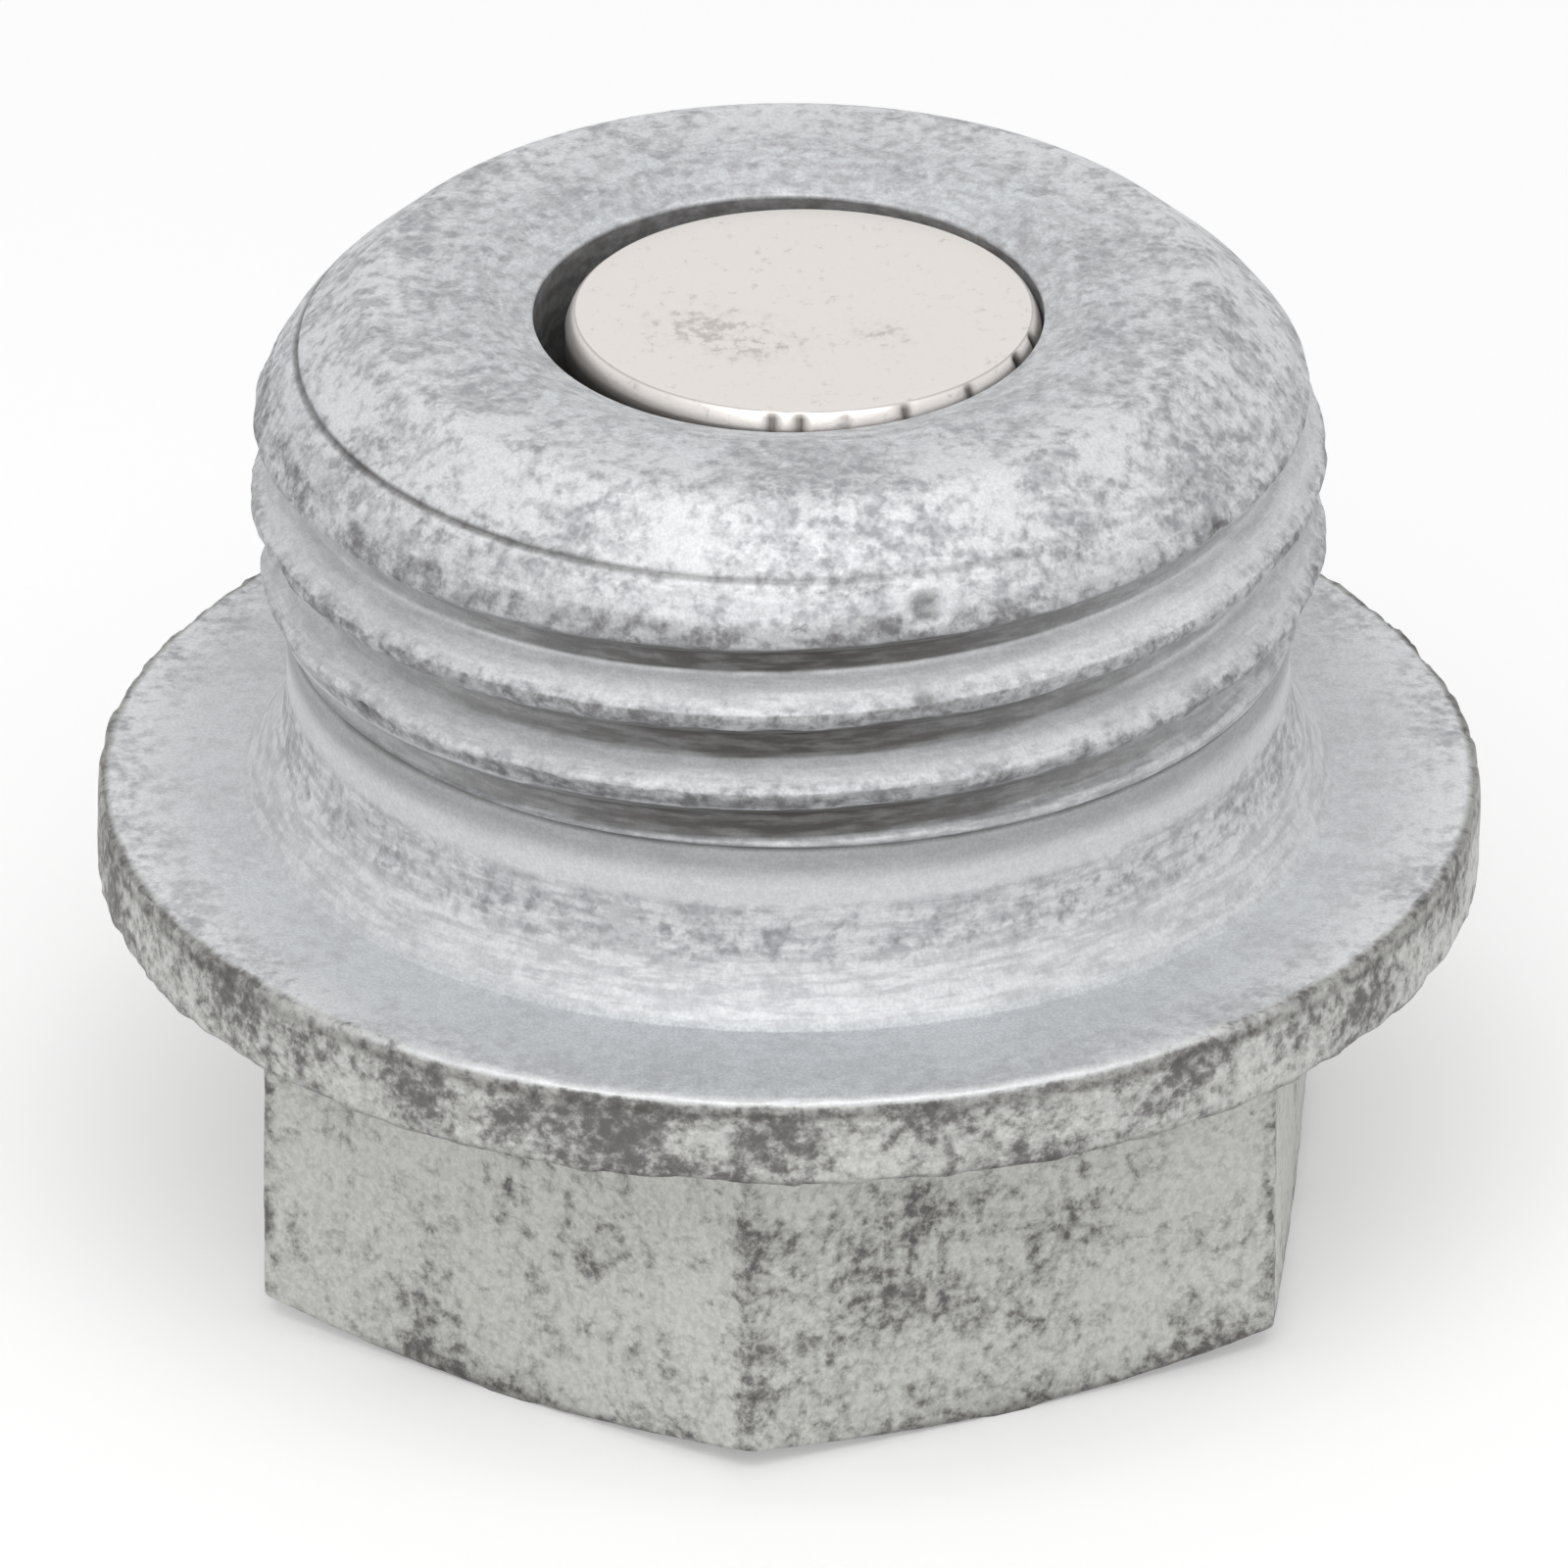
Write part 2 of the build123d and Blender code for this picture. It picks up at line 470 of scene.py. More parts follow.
for net in (head_net, nose_net):
    for low, high in zip(net, net[1:]):
        add_faces(low, high, low[0], high[0])
lap_later = np.vstack([climb_net[rows_per_pitch:], np.tile(nose_net[0], (rows_per_pitch, 1))])
for number in range(len(climb_net) - 1):
    add_faces(*climb_net[number : number + 2], lap_later[number][0], lap_later[number + 1][0])
print("faces:", len(faces))

# %% [markdown]
# ## Knocks and forging skin
# Rolling and turning left the thread and the sealing face smooth, but the rim and the hexagon keep
# the skin of the forging, and a bin of hard parts has knocked dimples into the crests. A Displace
# modifier would roughen all of it alike. Noise that is read here, at each point's own place in
# millimetres, gives each dimple a true size and keeps it to its section. Dimples only go into the
# metal, so the plug keeps its measured size.

# %% Forging skin
octave_fade, octave_step, octaves = 1.0, 2.0, 3
rim_middle = 7.225


def on(*names):
    """Which points lie on the named sections."""
    return np.isin(section_of, names)


def place_noise(cell, shift, flatten=1.0):
    """Noise from about -1 to 1 at each point, with features about one cell across, in millimetres.
    Flattened noise has features that are lower than they are wide, like marks that run round."""
    places = points / cell * np.array((1, 1, flatten)) + shift * np.array((1, 0.7, 1.3))
    steps = (octave_fade, octave_step, octaves)
    return np.array([noise.fractal(Vector(place), *steps) for place in places])


forged = on("underside", "hexagon", "rim").astype(float)
rim_edge = fade(radius, 11.2, 11.55) * fade(np.abs(height - rim_middle), 0.5, 0.8)
crest = on("thread") * fade(radius, 8.6, 8.9)
broad_waves = place_noise(2.4, 11.0)
small_waves = place_noise(0.55, 23.0)
crest_waves = place_noise(0.8, 31.0, flatten=1.6)
skin_depth = forged * (0.02 + 0.02 * broad_waves + 0.014 * small_waves)
skin_depth += rim_edge * (0.03 + 0.05 * small_waves + 0.02 * broad_waves)
skin_depth += crest * (0.02 + 0.05 * crest_waves)
stands_on = height < 0.001
skin_depth[stands_on] = 0
skin_depth = np.clip(skin_depth, 0, None)
print("deepest dimple:", round(skin_depth.max(), 3), "mm")

# %% [markdown]
# Some marks can be told apart one by one: nicks along the crests and notches in the rim. They could
# be carved by hand in Sculpt Mode, but a list can be read and corrected. Each mark is a small pit
# with its place round the plug in degrees, and its height, width and depth in millimetres.

# %% Nicks and notches
crest_nicks = [
    (-133.0, 14.74, 0.22, 0.10),
    (-139.5, 12.12, 0.2, 0.10),
    (-127.0, 12.0, 0.16, 0.08),
    (-71.3, 14.02, 0.3, 0.10),
    (-58.0, 13.85, 0.16, 0.08),
    (-31.0, 15.42, 0.3, 0.10),
    (-60.5, 15.3, 0.35, 0.06),
    (-100.0, 12.3, 0.15, 0.06),
    (-48.0, 12.45, 0.2, 0.07),
    (40.0, 13.9, 0.3, 0.10),
    (120.0, 14.3, 0.25, 0.09),
    (200.0, 13.2, 0.2, 0.08),
]
rim_notches = [
    (12.3, 8.05, 0.22, 0.14),
    (8.0, 7.95, 0.3, 0.06),
    (-154.0, 8.0, 0.35, 0.08),
    (-171.6, 8.05, 0.3, 0.07),
    (-120.0, 8.0, 0.5, 0.05),
    (-52.0, 8.0, 0.5, 0.05),
    (75.0, 8.05, 0.3, 0.10),
    (140.0, 6.5, 0.4, 0.10),
]


def turned_from(angles, centre):
    """Angles counted from a centre, from half a turn back to half a turn on."""
    return (angles - centre + math.pi) % (2 * math.pi) - math.pi


def bell(distance):
    """1 at no distance, falling softly to almost 0 at a distance of 2."""
    return np.exp(-(distance**2))


def distance_to(degrees_round, at_height):
    """How far each point lies from a place on the outside of the plug."""
    return np.hypot(turned_from(angle, math.radians(degrees_round)) * radius, height - at_height)


def pit(degrees_round, at_height, width, depth):
    """A round pit on the outside of the plug."""
    return depth * bell(distance_to(degrees_round, at_height) / width * 2)


outside = on("rim", "thread", "lead")
nicked = sum(outside * pit(*mark) for mark in crest_nicks)
skin_depth += nicked + sum(outside * pit(*mark) for mark in rim_notches)
print("nicks:", len(crest_nicks), "notches:", len(rim_notches))

# %% [markdown]
# Above the last crest sits an oval dent. The metal that was pressed out of it stands round it as a
# low lip, the only mark that rises. The fine line round the shoulder of the nose was left by the
# lathe tool, deepest on one side.

# %% Dent and tool mark
dent_angle = math.radians(-70.6)
dent_height = 15.6
dent_width = 0.33
dent_flatten = 1.3
dent_depth = 0.14
dent_lip_height = 0.05
dent_round = turned_from(angle, dent_angle) * radius
dent_distance = np.hypot(dent_round, (height - dent_height) * dent_flatten) / dent_width
dent_floor = outside * (1 - fade(dent_distance, 0.45, 0.95))
dent_lip = outside * bell((dent_distance - 1.15) * 5)
skin_depth += dent_depth * dent_floor - dent_lip_height * dent_lip

tool_mark_depth = 0.05
tool_mark_width = 0.035
tool_mark_side = math.radians(-150)
tool_mark_strength = (0.5 + 0.5 * np.cos(angle - tool_mark_side)) ** 2
tool_mark = on("lead", "cone") * bell((height - shoulder_height) / tool_mark_width)
skin_depth += tool_mark_depth * tool_mark * tool_mark_strength
print("deepest mark:", round(skin_depth.max(), 3), "mm")

# %% [markdown]
# The points move along their own normals, which Blender works out from the faces. So the mesh is made
# first with the clean shape, and then pushed in. Smooth shading hides the net, because every edge
# already has its own rounded rows.

# %% Plug body mesh
def new_object(name, mesh_points, mesh_faces):
    """A smooth-shaded object from points in millimetres."""
    mesh = bpy.data.meshes.new(name)
    mesh.from_pydata((mesh_points * MM).tolist(), [], mesh_faces)
    mesh.validate()
    mesh.shade_smooth()
    made = bpy.data.objects.new(name, mesh)
    bpy.context.scene.collection.objects.link(made)
    return made


plug = new_object("worn_plug", points, faces)
normals = np.zeros(len(points) * 3)
plug.data.vertex_normals.foreach_get("vector", normals)
pushed = points - normals.reshape(-1, 3) * skin_depth[:, None]
pushed = np.clip(pushed, np.array(plug_low), np.array(plug_high))
plug.data.vertices.foreach_set("co", (pushed * MM).ravel())
plug.data.update()
triangles = sum(len(face) - 2 for face in faces)
print("worn_plug:", len(points), "points,", triangles, "triangles")

# %% [markdown]
# ## Where the finish differs
# The same grey zinc coat looks different on each part of the plug: smooth and bluish where a tool
# turned it, cloudy on the nose, blotched dark and a little warmer on the forged rim and head, brown
# with old grease and painted shade in the grooves, and streaked round the neck. A painted image would
# blur this close.
# Instead each of the six is a number from 0 to 1, kept on the points of the mesh, which the material
# reads.

# %% Finish of each section
finish_names = ("patches", "clouds", "turned", "grease", "warmth", "streaks")
finish_of = {
    "underside": (0.4, 0.5, 0.2, 0.2, 1.0, 0.0),
    "hexagon": (0.14, 0.1, 0.0, 0.0, 1.0, 0.0),
    "rim": (0.34, 0.2, 0.0, 0.0, 0.8, 0.1),
    "face": (0.0, 0.3, 0.85, 0.0, 0.0, 0.1),
    "land": (0.0, 0.3, 0.2, 0.0, 0.0, 0.6),
    "flare": (0.0, 0.2, 0.0, 0.0, 0.0, 0.7),
    "neck": (0.0, 0.1, 0.0, 0.0, 0.0, 0.1),
    "lip": (0.0, 0.4, 0.9, 0.15, 0.0, 0.6),
    "thread": (0.0, 0.3, 0.5, 0.0, 0.0, 0.4),
    "lead": (0.1, 1.0, 0.15, 0.0, 0.0, 0.3),
    "cone": (0.0, 1.0, 0.2, 0.0, 0.0, 0.1),
    "ring": (0.0, 0.9, 0.35, 0.0, 0.0, 0.15),
    "dish": (0.0, 0.7, 0.6, 0.0, 0.0, 0.5),
    # The bore's dark brown is partly grease and partly painted shade down in the recess.
    "bore": (0.0, 0.6, 0.0, 0.75, 0.0, 0.5),
}
finish = {}
for number, name in enumerate(finish_names):
    finish[name] = np.array([finish_of[section][number] for section in sections])


def grease_at_least(amount):
    """Grease and painted shade, where there is more of it than was there before."""
    finish["grease"] = np.maximum(finish["grease"], amount)


print("sections:", len(finish_of), "finishes:", len(finish_names))

# %% [markdown]
# The thread is one section with three finishes. Its crests are rubbed and cloudy, with ragged patches
# on their flat tops, which are also painted darker towards the front as shade. The roots are dark
# brown: old grease, where no rag gets in, and painted shade, which is strongest on the front of the
# plug.

# %% Crests, and roots with grease and painted shade
front_turn = math.radians(4)
thread_middle = flange_face + 5.4
lead_turn = nose_face - 1.61
ragged = 0.07 * crest_waves
on_thread = on("thread")
groove_here, above_here = groove_at(angle, height)
in_groove = on("thread", "lip") & (groove_here < bar_outline(height) + 0.02)
on_lead = on_thread & ~in_groove & (height > thread_middle)
crest_share = np.where(on_thread, fade(radius, 8.7, 8.95), 0)
crest_share = np.where(on_lead, 1, crest_share)
crest_flat = on_thread * np.maximum(fade(above_here, 0.5, 0.58), fade(-above_here + ragged, 0.6, 0.68))
lead_flat = 1 - fade(height + 2 * ragged, lead_turn - 0.1, lead_turn + 0.05)
crest_flat = np.where(on_lead, lead_flat, crest_flat)
crest_flat *= fade(radius, 8.45, 8.7)
# How much a point faces the front of the plug; painted shade and painted highlight follow it.
front_share = np.clip(np.cos(angle - front_angle - front_turn), 0, 1) ** 3
root_edge = above_here + 0.05 * front_share + 0.25 * ragged - 0.07 * fade(height, 12.9, 13.2)
# Grease and painted shade: the roots are darkened, most of all at the front.
shaded_dirty_root = np.where(in_groove, fade(root_edge, -0.21, -0.15), 0) * (1 - crest_flat)
grease_at_least(shaded_dirty_root * (0.28 + 0.72 * front_share))
# Painted shade on the crests' flat tops, strongest at the front.
grease_at_least(crest_flat * (0.05 + 0.25 * front_share))
finish["patches"] = np.where(on_thread, 0.05 * crest_share + 0.28 * crest_flat, finish["patches"])
finish["clouds"] = np.where(on_thread, 0.2 + 0.8 * crest_share, finish["clouds"])
finish["turned"] = np.where(on_thread, 0.1 + 0.25 * crest_share, finish["turned"])
print("points in a dirty root:", int((shaded_dirty_root > 0.5).sum()))

# %% [markdown]
# The flare has a band of clouds. The neck above it is painted darker, greyer and browner, as the
# shade of the thread's foot, and fine lines run round the foot. On the nose the turned look fades
# outwards, and the sealing face is duller towards its edge.

# %% Neck, nose and sealing face
above_face = height - flange_face
foot_band = on("land", "flare", "neck", "thread") & ~in_groove
foot_clouds = foot_band * fade(above_face, 0.75, 0.95) * (1 - fade(above_face, 1.7, 2.1))
shaded_neck = foot_band * fade(above_face, 2.3, 2.8) * (1 - fade(above_face, 3.06, 3.1))
foot_lines = on("thread", "lip") * (1 - fade(above_face, 3.9, 4.5)) * (1 - shaded_dirty_root)
finish["clouds"] += foot_clouds
# Painted shade: the neck under the thread's foot gets the turned grey and the dark brown layer.
finish["turned"] += 0.4 * shaded_neck
finish["grease"] += 0.42 * shaded_neck
finish["streaks"] += 0.6 * foot_lines
finish["clouds"] += 0.3 * foot_lines

flat_nose = on("cone", "ring", "dish")
outer_face = on("face") * fade(radius, 9.9, 11.4) * (1 - 0.8 * front_share)
finish["turned"] = np.where(flat_nose, 0.6 - 0.35 * fade(radius, 5.2, 7.6), finish["turned"])
finish["streaks"] = np.where(flat_nose, 0.6 - 0.5 * fade(radius, 5.0, 6.4), finish["streaks"])
finish["clouds"] += 0.6 * outer_face
finish["turned"] -= 0.35 * outer_face + 0.35 * on("face") * (1 - front_share)
print("points in the shaded neck:", int((shaded_neck > 0.5).sum()))

# %% [markdown]
# On the rim and the hexagon the coat is worn through in places. Each place has its angle in degrees,
# height and size in millimetres, and how strong the patches are there. The hexagon's corners and
# lowest edge are darkened all round, partly wear and partly painted shade.

# %% Worn places
worn_places = [
    (-75.4, 3.7, 1.5, 0.42),
    (-62.0, 2.0, 1.6, 0.2),
    (-89.0, 4.3, 0.5, 0.4),
    (-89.0, 1.9, 0.7, 0.2),
    (-90.0, 0.5, 0.8, 0.2),
    (-129.0, 0.5, 1.0, 0.35),
    (-148.0, 5.0, 1.0, 0.2),
    (-118.7, 4.0, 0.35, 0.5),
    (-108.3, 3.2, 0.25, 0.5),
    (-94.7, 1.3, 0.2, 0.5),
    (-52.1, 3.7, 0.8, 0.25),
    (-35.9, 0.4, 0.9, 0.35),
    (-118.2, 7.3, 0.6, 0.4),
    (-129.8, 7.3, 0.5, 0.35),
    (-110.4, 7.2, 0.4, 0.35),
    (-99.7, 7.2, 1.3, 0.4),
    (-86.5, 7.1, 0.8, 0.4),
    (-140.0, 7.2, 1.2, 0.25),
    (-75.4, 7.7, 0.5, 0.4),
    (-64.4, 6.5, 0.6, 0.3),
    (-51.4, 7.6, 0.5, 0.45),
    (-165.0, 7.2, 1.5, 0.3),
    (-31.0, 7.2, 0.7, 0.35),
    (-12.0, 7.4, 0.5, 0.35),
    (30.0, 7.2, 2.0, 0.3),
    (100.0, 3.5, 1.8, 0.35),
    (170.0, 3.0, 1.6, 0.3),
]
for degrees_round, at_height, size, amount in worn_places:
    worn_here = amount * bell(distance_to(degrees_round, at_height) / size)
    finish["patches"] += np.where(forged > 0, worn_here, 0)

on_head = on("hexagon", "underside")
corner_reach = np.abs(from_corner(angle)) * radius
# Wear and painted shade: dark patches along the hexagon's corners and lowest edge.
hex_edge_wear_and_shade = np.maximum(1 - fade(height, 0.2, 0.8), 1 - fade(corner_reach, 0.1, 0.35))
finish["patches"] += 0.25 * on_head * hex_edge_wear_and_shade
print("worn places:", len(worn_places))

# %% [markdown]
# Painted shade darkens the lowest edges, the neck just under the lip of the thread, a line round the
# rim, the rim's upper edge at the sides, and the insides of the dent, the nicks and the tool mark.
# The rim's upper edge is left bright at the front, rubbed bright and painted as a highlight, and so is
# the dent's lip.

# %% Painted shade on edges and pits, and a painted highlight
# Masks for painted shade on the lowest edges, under the lip and round the rim, and for a painted
# highlight.
shaded_low_edges = on_head * (1 - fade(height, 0.12, 0.3)) + on("rim") * (1 - fade(height, 6.48, 6.6))
shade_under_lip = on("neck") * bell((above_face - 3.08) / 0.05)
rim_shade_line = on("rim") * bell((height - 7.8) / 0.1)
rim_top = on("rim", "face") * fade(height, 7.9, 8.0) * fade(radius, 11.37, 11.42)
rubbed_rim_highlight = rim_top * fade(front_share, 0.2, 0.8)

# Painted shade along the lowest edges and under the lip.
grease_at_least(0.5 * shaded_low_edges)
grease_at_least(0.9 * shade_under_lip)
# The dent's lip is cleared, a painted highlight; its floor and the nicks get painted shade.
for name in ("grease", "patches", "clouds"):
    finish[name] *= 1 - dent_lip
grease_at_least(0.6 * dent_floor)
grease_at_least(np.clip(9 * nicked, 0, 0.85))
# Painted shade in a line round the rim and on its upper edge at the sides.
grease_at_least(0.7 * rim_shade_line)
grease_at_least(0.6 * rim_top * (1 - front_share))
# Painted highlight, also rubbed: the rim's upper edge at the front is cleared to bright zinc.
for name in finish_names:
    finish[name] *= 1 - rubbed_rim_highlight
# Painted shade along the tool mark.
grease_at_least(np.clip(1.4 * tool_mark * tool_mark_strength, 0, 1))
print("points on the bright edge:", int((rubbed_rim_highlight > 0.5).sum()))

# %% [markdown]
# The numbers go onto the mesh as attributes, one value on each point. A material reads an attribute
# by its name, and Blender blends it from point to point across a face.

# %% Keep the finish on the mesh
def keep(made, name, values):
    """Keeps a number from 0 to 1 on each point of an object's mesh."""
    clipped = np.clip(values, 0, 1).astype(np.float32)
    made.data.attributes.new(name, "FLOAT", "POINT").data.foreach_set("value", clipped)
    print(made.name, name, "mean:", round(float(clipped.mean()), 3))


for name in finish_names:
    keep(plug, name, finish[name])

# %% [markdown]
# ## A recipe for materials
# A material is a net of nodes. Drawn by hand in the Shader Editor it is easy to see but slow to
# change. Here a short class adds the nodes, so each line of a recipe reads as one step: a sum, a
# mask, a layer of colour.

# %% Recipe
class Recipe:
    """A material and short names for the nodes that its recipe uses."""

    def __init__(self, name):
        self.material = bpy.data.materials.new(name)
        self.material.use_nodes = True
        self.tree = self.material.node_tree
        self.shader = self.tree.nodes["Principled BSDF"]

    def node(self, kind, **settings):
        made = self.tree.nodes.new(kind)
        for name, value in settings.items():
            setattr(made, name, value)
        return made

    def feed(self, socket, value):
        if isinstance(value, bpy.types.NodeSocket):
            self.tree.links.new(value, socket)
        else:
            socket.default_value = value

    def filled(self, kind, *values, **settings):
        """A node with its first sockets filled in their order."""
        made = self.node(kind, **settings)
        for socket, value in zip(made.inputs, values):
            self.feed(socket, value)
        return made

    def plus(self, first, second):
        return self.filled("ShaderNodeMath", first, second, operation="ADD").outputs["Value"]

    def minus(self, first, second):
        return self.filled("ShaderNodeMath", first, second, operation="SUBTRACT").outputs["Value"]

    def times(self, first, second):
        return self.filled("ShaderNodeMath", first, second, operation="MULTIPLY").outputs["Value"]

    def size_of(self, value):
        return self.filled("ShaderNodeMath", value, operation="ABSOLUTE").outputs["Value"]

    def mask(self, value, start, end):
        """0 before start, 1 after end, and a soft change between them."""
        made = self.filled("ShaderNodeMapRange", value, start, end, interpolation_type="SMOOTHSTEP")
        return made.outputs["Result"]

    def layer(self, below, colour, amount):
        """A colour laid over what is there, as thick as the amount says."""
        made = self.node("ShaderNodeMix", data_type="RGBA")
        self.feed(made.inputs["Factor"], amount)
        self.feed(made.inputs["A"], below)
        self.feed(made.inputs["B"], colour)
        return made.outputs["Result"]

    def kept(self, name):
        """A number that the mesh keeps on its points."""
        return self.node("ShaderNodeAttribute", attribute_name=name).outputs["Fac"]

    def bump(self, height, distance, strength):
        made = self.node("ShaderNodeBump")
        self.feed(made.inputs["Height"], height)
        made.inputs["Distance"].default_value = distance * MM
        made.inputs["Strength"].default_value = strength
        self.feed(self.shader.inputs["Normal"], made.outputs["Normal"])


print("recipe steps:", [step for step in vars(Recipe) if not step.startswith("_")])

# %% [markdown]
# Noise is read at a point's own place in the model, so it stays on the metal when the plug is moved.
# Clouds and patches are as wide as they are high, but a lathe and a rag leave marks that run round.
# For these the place is bent: slow round the axis, quick in height and in radius. That makes four
# numbers, so the noise is 4D.

# %% Two kinds of noise
def set_noise(made, detail, roughness, distortion=0.0):
    """Settings of a noise node. Its scale is 1, because the place that it reads is scaled already."""
    made.inputs["Scale"].default_value = 1.0
    made.inputs["Detail"].default_value = detail
    made.inputs["Roughness"].default_value = roughness
    made.inputs["Distortion"].default_value = distortion
    return made.outputs["Fac"]


def even_noise(recipe, scale, *settings):
    """Noise with a scale along X, Y and Z, in features per millimetre."""
    place = recipe.node("ShaderNodeTexCoord").outputs["Object"]
    scaled = recipe.filled("ShaderNodeVectorMath", place, Vector(scale) / MM, operation="MULTIPLY")
    made = recipe.filled("ShaderNodeTexNoise", scaled.outputs["Vector"])
    return set_noise(made, *settings)


def ring_noise(recipe, round_scale, across_scale, *settings):
    """Noise in streaks that run round the plug."""
    place = recipe.node("ShaderNodeTexCoord").outputs["Object"]
    x, y, z = recipe.filled("ShaderNodeSeparateXYZ", place).outputs
    level = recipe.filled("ShaderNodeCombineXYZ", x, y).outputs["Vector"]
    reach = recipe.filled("ShaderNodeVectorMath", level, operation="LENGTH").outputs["Value"]
    turn = recipe.filled("ShaderNodeVectorMath", level, operation="NORMALIZE").outputs["Vector"]
    slow = recipe.filled("ShaderNodeVectorMath", turn, operation="SCALE")
    slow.inputs["Scale"].default_value = round_scale
    rise = recipe.node("ShaderNodeCombineXYZ")
    recipe.feed(rise.inputs["Z"], recipe.times(z, across_scale / MM))
    moves = (slow.outputs["Vector"], rise.outputs["Vector"])
    bent = recipe.filled("ShaderNodeVectorMath", *moves, operation="ADD")
    made = recipe.node("ShaderNodeTexNoise", noise_dimensions="4D")
    recipe.feed(made.inputs["Vector"], bent.outputs["Vector"])
    recipe.feed(made.inputs["W"], recipe.times(reach, across_scale / MM))
    return set_noise(made, *settings)


print("noise helpers:", even_noise.__name__, ring_noise.__name__)

# %% [markdown]
# ## A worn zinc coat
# A zinc coat is dull: tiny crystals scatter the light, and handling leaves grey clouds and dark
# patches in it. No single noise looks like that, so seven are used, from broad to fine: where marks
# gather, the clouds, the bright veins between them, the patches, a grain, a finer grain, and streaks.
# After the scale come each noise's detail, roughness and distortion.

# %% Noises of the zinc coat
zinc = Recipe("worn_zinc_coat")
broad_noise = even_noise(zinc, (0.6, 0.6, 0.8), 2.0, 0.5)
cloud_noise = even_noise(zinc, (3.6, 3.6, 4.0), 3.0, 0.62, 0.15)
vein_noise = even_noise(zinc, (2.8, 2.8, 3.0), 2.0, 0.55, 0.1)
patch_noise = even_noise(zinc, (3.6, 3.6, 3.8), 4.0, 0.68, 0.1)
grain_noise = even_noise(zinc, (8.0, 8.0, 8.0), 1.5, 0.5)
fine_noise = even_noise(zinc, (18.0, 18.0, 18.0), 1.0, 0.5)
streak_noise = ring_noise(zinc, 9.0, 6.5, 3.0, 0.6)
print("zinc noises:", sum(node.type == "TEX_NOISE" for node in zinc.tree.nodes))

# %% [markdown]
# A mask turns a noise into a shape: below its first number there is nothing, above its second all of
# it. The numbers kept on the mesh then say how much of each shape a section shows. The broad noise
# pushes clouds and patches together into groups, and the veins break the clouds up.

# %% Masks of the zinc coat
broad_push = zinc.minus(broad_noise, 0.5)
broad_reach = zinc.minus(0.8, zinc.times(zinc.kept("streaks"), 0.8))
vein_reach = zinc.size_of(zinc.minus(vein_noise, 0.5))
vein_gap = zinc.plus(zinc.times(zinc.mask(vein_reach, 0.0, 0.12), 0.4), 0.6)
cloud_level = zinc.plus(cloud_noise, zinc.times(broad_push, broad_reach))
cloud_mask = zinc.times(zinc.times(zinc.mask(cloud_level, 0.36, 0.7), zinc.kept("clouds")), vein_gap)

patches = zinc.kept("patches")
patch_density = zinc.plus(patches, zinc.times(broad_push, 0.9))
patch_level = zinc.plus(patch_noise, zinc.times(patch_density, 0.45))
patch_mask = zinc.times(zinc.mask(patch_level, 0.53, 0.87), zinc.mask(patches, 0.0, 0.12))
core_mask = zinc.times(zinc.mask(patch_level, 0.69, 0.95), zinc.kept("warmth"))

streak_mask = zinc.times(zinc.mask(streak_noise, 0.42, 0.62), zinc.kept("streaks"))
grain_amount = zinc.plus(zinc.times(zinc.kept("warmth"), 0.12), 0.06)
grain_mask = zinc.times(zinc.mask(grain_noise, 0.36, 0.68), grain_amount)
fine_amount = zinc.plus(zinc.times(zinc.kept("turned"), 0.1), 0.1)
fine_mask = zinc.times(zinc.mask(fine_noise, 0.4, 0.6), fine_amount)
# The dark brown layer is grease and painted shade, broken up a little by the streaks.
grease_break = zinc.plus(zinc.times(zinc.mask(streak_noise, 0.35, 0.6), 0.17), 0.83)
grease_mask = zinc.times(zinc.kept("grease"), grease_break)
print("nodes for the masks:", len(zinc.tree.nodes))

# %% [markdown]
# Colours are written as the eye reads them on a screen. The shader works in linear light, where half
# as bright to the eye is only a fifth of the light, so a helper turns one into the other.

# %% Colours of the zinc coat
def paint(red, green, blue):
    """A colour written from 0 to 255, in the linear form that the shader needs."""
    linear = [
        ((part / 255 + 0.055) / 1.055) ** 2.4 if part > 10 else part / 255 / 12.92
        for part in (red, green, blue)
    ]
    return (*linear, 1.0)


bright_zinc = paint(231, 232, 234)
cloud_grey = paint(146, 147, 151)
turned_grey = paint(201, 205, 208)
upper_patch = paint(120, 118, 120)
warm_zinc = paint(221, 222, 216)
warm_patch = paint(138, 136, 133)
patch_core = paint(86, 82, 80)
# Dark brown for grease and for painted shade.
grease_brown = paint(66, 61, 56)
print("bright zinc in linear light:", [round(part, 3) for part in bright_zinc[:3]])

# %% [markdown]
# The coat is built up as dirt builds up on metal: clean zinc first, then clouds, streaks, patches
# with darker cores, grain, and last a dark brown layer that is partly grease and partly painted shade.
# The number in each line is how thick that layer may get.
# Metallic stays low, because a zinc coat is partly a white salt. The patches are a little rougher
# than the rest, and a bump of a few hundredths of a millimetre lets them and the grain catch the
# light.

# %% Layers of the zinc coat
clean = zinc.layer(bright_zinc, turned_grey, zinc.kept("turned"))
clean = zinc.layer(clean, warm_zinc, zinc.kept("warmth"))
skin = zinc.layer(clean, cloud_grey, zinc.times(cloud_mask, 0.85))
skin = zinc.layer(skin, cloud_grey, zinc.times(streak_mask, 0.5))
patch_colour = zinc.layer(upper_patch, warm_patch, zinc.kept("warmth"))
skin = zinc.layer(skin, patch_colour, zinc.times(patch_mask, 0.9))
skin = zinc.layer(skin, patch_core, zinc.times(core_mask, 0.8))
skin = zinc.layer(skin, upper_patch, grain_mask)
skin = zinc.layer(skin, upper_patch, fine_mask)
